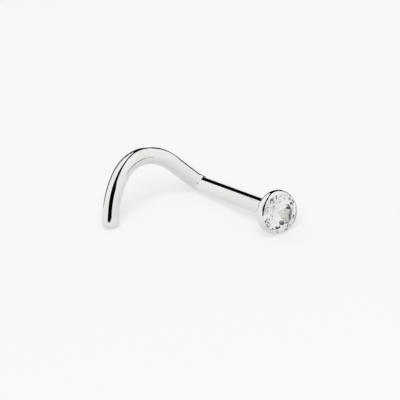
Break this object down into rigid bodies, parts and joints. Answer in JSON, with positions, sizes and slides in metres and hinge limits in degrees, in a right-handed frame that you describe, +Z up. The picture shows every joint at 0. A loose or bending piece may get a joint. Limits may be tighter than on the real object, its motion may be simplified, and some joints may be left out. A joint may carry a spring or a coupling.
{
  "type": "nose stud",
  "caption": "Nostril-screw nose stud: a straight wire post with a bent, arched hook and a small cup holding a round cut crystal.",
  "frame": {"origin": "middle of the bounding box on the level surface that the stud lies on", "axes": "+Z up; the cup and its stone face -Y and slightly up, the post runs back along +Y, and the hook arches over towards -X"},
  "size_m": [0.0066, 0.008, 0.0032],
  "materials": {
    "steel": "polished surgical steel",
    "crystal": "clear cut crystal"
  },
  "bodies": {
    "root": {"hooked_post": "steel", "crystal": "crystal"}
  },
  "joints": []
}
